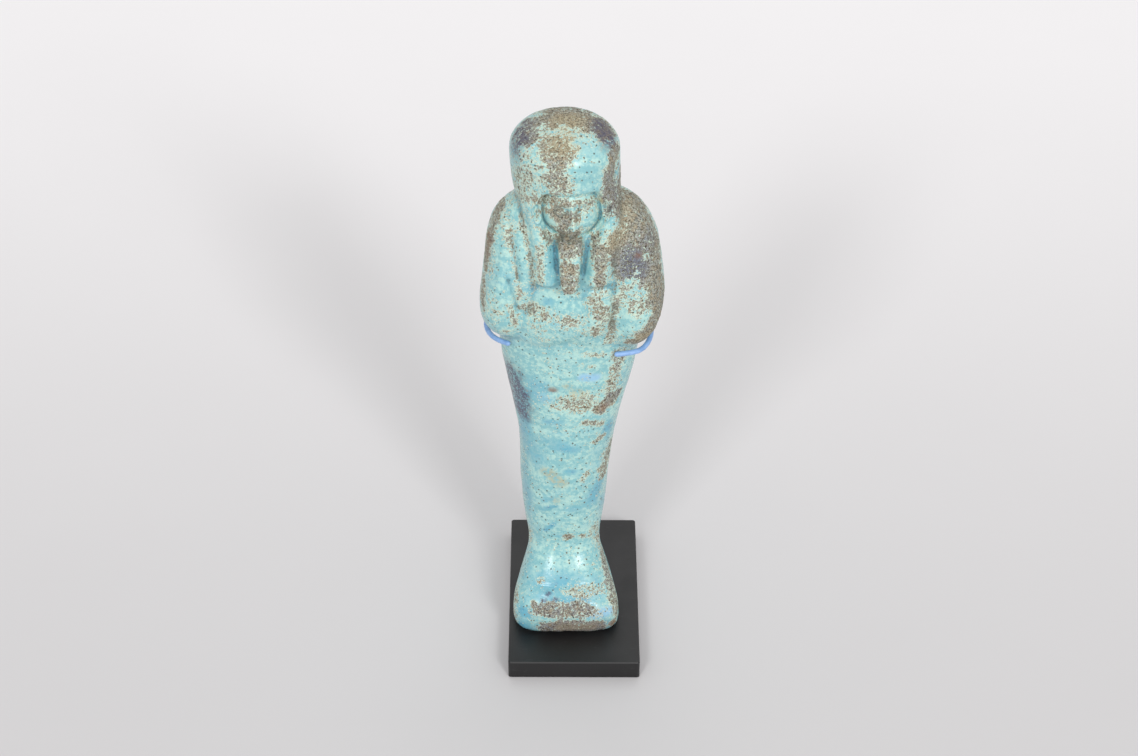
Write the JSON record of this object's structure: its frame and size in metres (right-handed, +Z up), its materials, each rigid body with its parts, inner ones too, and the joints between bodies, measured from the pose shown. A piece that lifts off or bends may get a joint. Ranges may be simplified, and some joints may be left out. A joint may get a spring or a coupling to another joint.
{
  "type": "ushabti figurine on stand",
  "caption": "moulded blue-green faience mummy figure with wig, beard and crossed arms, upright on a flat black block in a bent wire cradle",
  "frame": {"origin": "centre of the block's underside, where it rests on a surface", "axes": "+Z up along the figure; the figure faces -Y; +X is to the right as seen from the front"},
  "size_m": [0.0505, 0.0636, 0.1697],
  "materials": {
    "figure": "worn semi-gloss turquoise glaze with brown crust and blue pooling",
    "block": "satin black, finely scratched",
    "cradle": "satin pale blue paint"
  },
  "bodies": {
    "root": {"figure": "figure", "block": "block", "cradle": "cradle"}
  },
  "joints": []
}
